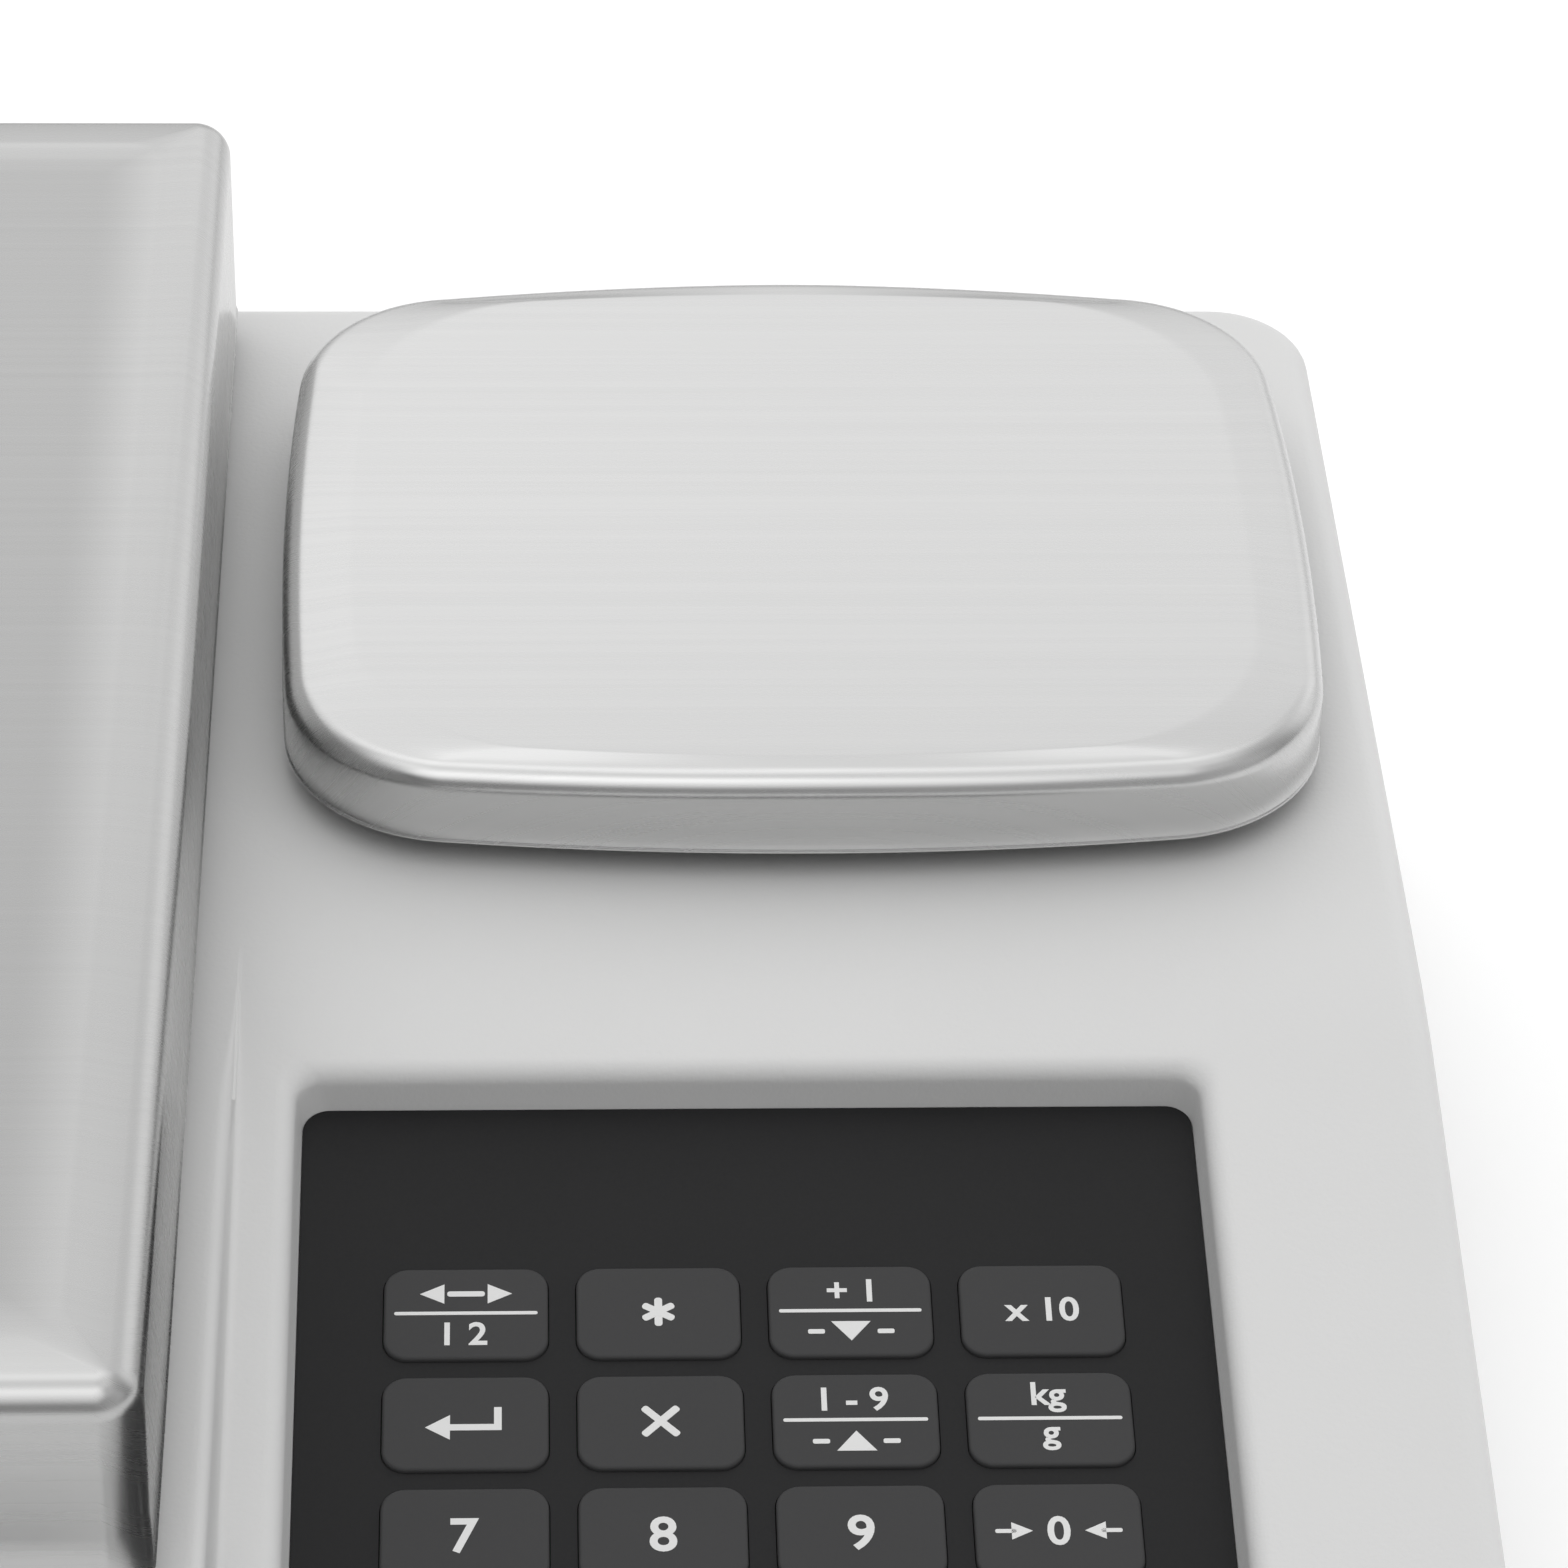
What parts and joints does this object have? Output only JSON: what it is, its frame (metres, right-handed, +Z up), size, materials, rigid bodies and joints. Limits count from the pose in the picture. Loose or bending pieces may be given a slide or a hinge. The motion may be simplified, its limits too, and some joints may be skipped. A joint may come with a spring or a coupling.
{
  "type": "label printing scale",
  "caption": "Counter scale with a large weighing pan, a small sample pan, a sloped keypad console, a display fascia and a hinged label printer bay.",
  "frame": {"origin": "middle of the casing's footprint, on the surface that the feet stand on", "axes": "+X to the operator's right along the longest side, +Y to the back, +Z up"},
  "size_m": [0.43, 0.29, 0.1115],
  "materials": {
    "case": "light grey textured moulding",
    "dark_plastic": "black moulding",
    "steel": "brushed stainless sheet",
    "aluminium": "machined and cast",
    "rubber": "matt black",
    "film": "satin charcoal film",
    "key": "satin dark grey",
    "board": "solder mask",
    "lens": "smoked acrylic",
    "lcd": "reflective display",
    "paper": "label stock",
    "gear_plastic": "natural acetal",
    "zinc": "zinc plated",
    "head": "thermal head",
    "battery": "moulded case",
    "acrylic": "clear vial with tinted fluid"
  },
  "bodies": {
    "housing": {"upper_housing": "case", "base_plate": "dark_plastic", "main_cell_bracket": "aluminium", "main_load_cell": "aluminium", "sub_load_cell": "aluminium", "keypad_overlay": "film", "keypad_board": "board", "display_window": "lens", "lcd_glass": "lcd", "display_board": "board", "printer_frame": "dark_plastic", "door_hinge_pin": "zinc", "feed_motor": "zinc", "print_head": "head", "main_board": "board", "battery": "battery", "power_inlet": "dark_plastic", "bubble_level": "acrylic"},
    "main_platform": {"main_spider": "aluminium", "main_pan_seats": "rubber"},
    "main_pan": {"main_pan": "steel"},
    "sub_platform": {"sub_pan_carrier": "aluminium", "sub_pan_seats": "rubber"},
    "sub_pan": {"sub_pan": "steel"},
    "printer_door": {"printer_door": "case"},
    "platen": {"platen_roller": "rubber", "platen_gear": "gear_plastic"},
    "drive_gear": {"drive_gear": "gear_plastic"},
    "label_roll": {"label_roll": "paper"},
    "feed_button": {"feed_button": "dark_plastic"},
    "power_switch": {"power_switch": "dark_plastic"},
    "foot_front_left": {"foot_front_left": "rubber"},
    "foot_front_right": {"foot_front_right": "rubber"},
    "foot_rear_left": {"foot_rear_left": "rubber"},
    "foot_rear_right": {"foot_rear_right": "rubber"},
    "key_r1c1": {"key_r1c1": "key"},
    "key_r1c2": {"key_r1c2": "key"},
    "key_r1c3": {"key_r1c3": "key"},
    "key_r1c4": {"key_r1c4": "key"},
    "key_r2c1": {"key_r2c1": "key"},
    "key_r2c2": {"key_r2c2": "key"},
    "key_r2c3": {"key_r2c3": "key"},
    "key_r2c4": {"key_r2c4": "key"},
    "key_r3c1": {"key_r3c1": "key"},
    "key_r3c2": {"key_r3c2": "key"},
    "key_r3c3": {"key_r3c3": "key"},
    "key_r3c4": {"key_r3c4": "key"},
    "key_r4c1": {"key_r4c1": "key"},
    "key_r4c2": {"key_r4c2": "key"},
    "key_r4c3": {"key_r4c3": "key"},
    "key_r4c4": {"key_r4c4": "key"},
    "key_r5c1": {"key_r5c1": "key"},
    "key_r5c2": {"key_r5c2": "key"},
    "key_r5c3": {"key_r5c3": "key"},
    "key_r5c4": {"key_r5c4": "key"},
    "key_r6c1": {"key_r6c1": "key"},
    "key_r6c2": {"key_r6c2": "key"},
    "key_r6c3": {"key_r6c3": "key"},
    "key_r6c4": {"key_r6c4": "key"}
  },
  "joints": [
    {"name": "door_hinge", "type": "hinge", "parent": "housing", "child": "printer_door", "pos_m": [-0.16, -0.09891, 0.07419], "axis": [-1, 0, 0], "range_deg": [0, 95]},
    {"name": "feed_press", "type": "slide", "parent": "housing", "child": "feed_button", "axis": [0, 0.6534, -0.757], "range_m": [0, 0.001], "stiffness_N_per_m": 800, "springref_m": -0.0005},
    {"name": "label_roll_spin", "type": "hinge", "parent": "housing", "child": "label_roll", "pos_m": [-0.16, -0.097, 0.04], "axis": [1, 0, 0], "continuous": true},
    {"name": "lift_main_pan", "type": "slide", "parent": "main_platform", "child": "main_pan", "axis": [0, 0, 1], "range_m": [0, 0.06]},
    {"name": "lift_sub_pan", "type": "slide", "parent": "sub_platform", "child": "sub_pan", "axis": [0, 0, 1], "range_m": [0, 0.04]},
    {"name": "main_weigh", "type": "slide", "parent": "housing", "child": "main_platform", "axis": [0, 0, 1], "range_m": [-0.0008, 0], "stiffness_N_per_m": 40000, "springref_m": 0.0008},
    {"name": "power_rocker", "type": "hinge", "parent": "housing", "child": "power_switch", "pos_m": [0.214, 0.06, 0.038], "axis": [0, 0, 1], "range_deg": [0, 16]},
    {"name": "sub_weigh", "type": "slide", "parent": "housing", "child": "sub_platform", "axis": [0, 0, 1], "range_m": [-0.0006, 0], "stiffness_N_per_m": 15000, "springref_m": 0.0006},
    {"name": "platen_spin", "type": "hinge", "parent": "printer_door", "child": "platen", "pos_m": [-0.16, -0.12559, 0.04389], "axis": [1, 0, 0], "continuous": true},
    {"name": "drive_spin", "type": "hinge", "parent": "housing", "child": "drive_gear", "pos_m": [-0.122, -0.1147, 0.04312], "axis": [1, 0, 0], "continuous": true},
    {"name": "screw_foot_front_left", "type": "slide", "parent": "housing", "child": "foot_front_left", "axis": [0, 0, -1], "range_m": [0, 0.006]},
    {"name": "screw_foot_front_right", "type": "slide", "parent": "housing", "child": "foot_front_right", "axis": [0, 0, -1], "range_m": [0, 0.006]},
    {"name": "screw_foot_rear_left", "type": "slide", "parent": "housing", "child": "foot_rear_left", "axis": [0, 0, -1], "range_m": [0, 0.006]},
    {"name": "screw_foot_rear_right", "type": "slide", "parent": "housing", "child": "foot_rear_right", "axis": [0, 0, -1], "range_m": [0, 0.006]},
    {"name": "press_key_r1c1", "type": "slide", "parent": "housing", "child": "key_r1c1", "axis": [0, 0.1501, -0.9887], "range_m": [0, 0.0004], "stiffness_N_per_m": 2000, "springref_m": -0.0002},
    {"name": "press_key_r1c2", "type": "slide", "parent": "housing", "child": "key_r1c2", "axis": [0, 0.1501, -0.9887], "range_m": [0, 0.0004], "stiffness_N_per_m": 2000, "springref_m": -0.0002},
    {"name": "press_key_r1c3", "type": "slide", "parent": "housing", "child": "key_r1c3", "axis": [0, 0.1501, -0.9887], "range_m": [0, 0.0004], "stiffness_N_per_m": 2000, "springref_m": -0.0002},
    {"name": "press_key_r1c4", "type": "slide", "parent": "housing", "child": "key_r1c4", "axis": [0, 0.1501, -0.9887], "range_m": [0, 0.0004], "stiffness_N_per_m": 2000, "springref_m": -0.0002},
    {"name": "press_key_r2c1", "type": "slide", "parent": "housing", "child": "key_r2c1", "axis": [0, 0.1501, -0.9887], "range_m": [0, 0.0004], "stiffness_N_per_m": 2000, "springref_m": -0.0002},
    {"name": "press_key_r2c2", "type": "slide", "parent": "housing", "child": "key_r2c2", "axis": [0, 0.1501, -0.9887], "range_m": [0, 0.0004], "stiffness_N_per_m": 2000, "springref_m": -0.0002},
    {"name": "press_key_r2c3", "type": "slide", "parent": "housing", "child": "key_r2c3", "axis": [0, 0.1501, -0.9887], "range_m": [0, 0.0004], "stiffness_N_per_m": 2000, "springref_m": -0.0002},
    {"name": "press_key_r2c4", "type": "slide", "parent": "housing", "child": "key_r2c4", "axis": [0, 0.1501, -0.9887], "range_m": [0, 0.0004], "stiffness_N_per_m": 2000, "springref_m": -0.0002},
    {"name": "press_key_r3c1", "type": "slide", "parent": "housing", "child": "key_r3c1", "axis": [0, 0.1501, -0.9887], "range_m": [0, 0.0004], "stiffness_N_per_m": 2000, "springref_m": -0.0002},
    {"name": "press_key_r3c2", "type": "slide", "parent": "housing", "child": "key_r3c2", "axis": [0, 0.1501, -0.9887], "range_m": [0, 0.0004], "stiffness_N_per_m": 2000, "springref_m": -0.0002},
    {"name": "press_key_r3c3", "type": "slide", "parent": "housing", "child": "key_r3c3", "axis": [0, 0.1501, -0.9887], "range_m": [0, 0.0004], "stiffness_N_per_m": 2000, "springref_m": -0.0002},
    {"name": "press_key_r3c4", "type": "slide", "parent": "housing", "child": "key_r3c4", "axis": [0, 0.1501, -0.9887], "range_m": [0, 0.0004], "stiffness_N_per_m": 2000, "springref_m": -0.0002},
    {"name": "press_key_r4c1", "type": "slide", "parent": "housing", "child": "key_r4c1", "axis": [0, 0.1501, -0.9887], "range_m": [0, 0.0004], "stiffness_N_per_m": 2000, "springref_m": -0.0002},
    {"name": "press_key_r4c2", "type": "slide", "parent": "housing", "child": "key_r4c2", "axis": [0, 0.1501, -0.9887], "range_m": [0, 0.0004], "stiffness_N_per_m": 2000, "springref_m": -0.0002},
    {"name": "press_key_r4c3", "type": "slide", "parent": "housing", "child": "key_r4c3", "axis": [0, 0.1501, -0.9887], "range_m": [0, 0.0004], "stiffness_N_per_m": 2000, "springref_m": -0.0002},
    {"name": "press_key_r4c4", "type": "slide", "parent": "housing", "child": "key_r4c4", "axis": [0, 0.1501, -0.9887], "range_m": [0, 0.0004], "stiffness_N_per_m": 2000, "springref_m": -0.0002},
    {"name": "press_key_r5c1", "type": "slide", "parent": "housing", "child": "key_r5c1", "axis": [0, 0.1501, -0.9887], "range_m": [0, 0.0004], "stiffness_N_per_m": 2000, "springref_m": -0.0002},
    {"name": "press_key_r5c2", "type": "slide", "parent": "housing", "child": "key_r5c2", "axis": [0, 0.1501, -0.9887], "range_m": [0, 0.0004], "stiffness_N_per_m": 2000, "springref_m": -0.0002},
    {"name": "press_key_r5c3", "type": "slide", "parent": "housing", "child": "key_r5c3", "axis": [0, 0.1501, -0.9887], "range_m": [0, 0.0004], "stiffness_N_per_m": 2000, "springref_m": -0.0002},
    {"name": "press_key_r5c4", "type": "slide", "parent": "housing", "child": "key_r5c4", "axis": [0, 0.1501, -0.9887], "range_m": [0, 0.0004], "stiffness_N_per_m": 2000, "springref_m": -0.0002},
    {"name": "press_key_r6c1", "type": "slide", "parent": "housing", "child": "key_r6c1", "axis": [0, 0.1501, -0.9887], "range_m": [0, 0.0004], "stiffness_N_per_m": 2000, "springref_m": -0.0002},
    {"name": "press_key_r6c2", "type": "slide", "parent": "housing", "child": "key_r6c2", "axis": [0, 0.1501, -0.9887], "range_m": [0, 0.0004], "stiffness_N_per_m": 2000, "springref_m": -0.0002},
    {"name": "press_key_r6c3", "type": "slide", "parent": "housing", "child": "key_r6c3", "axis": [0, 0.1501, -0.9887], "range_m": [0, 0.0004], "stiffness_N_per_m": 2000, "springref_m": -0.0002},
    {"name": "press_key_r6c4", "type": "slide", "parent": "housing", "child": "key_r6c4", "axis": [0, 0.1501, -0.9887], "range_m": [0, 0.0004], "stiffness_N_per_m": 2000, "springref_m": -0.0002}
  ],
  "couplings": [
    {"joint": "platen_spin", "follows": "label_roll_spin", "ratio": -4.2},
    {"joint": "drive_spin", "follows": "label_roll_spin", "ratio": 3.36}
  ]
}
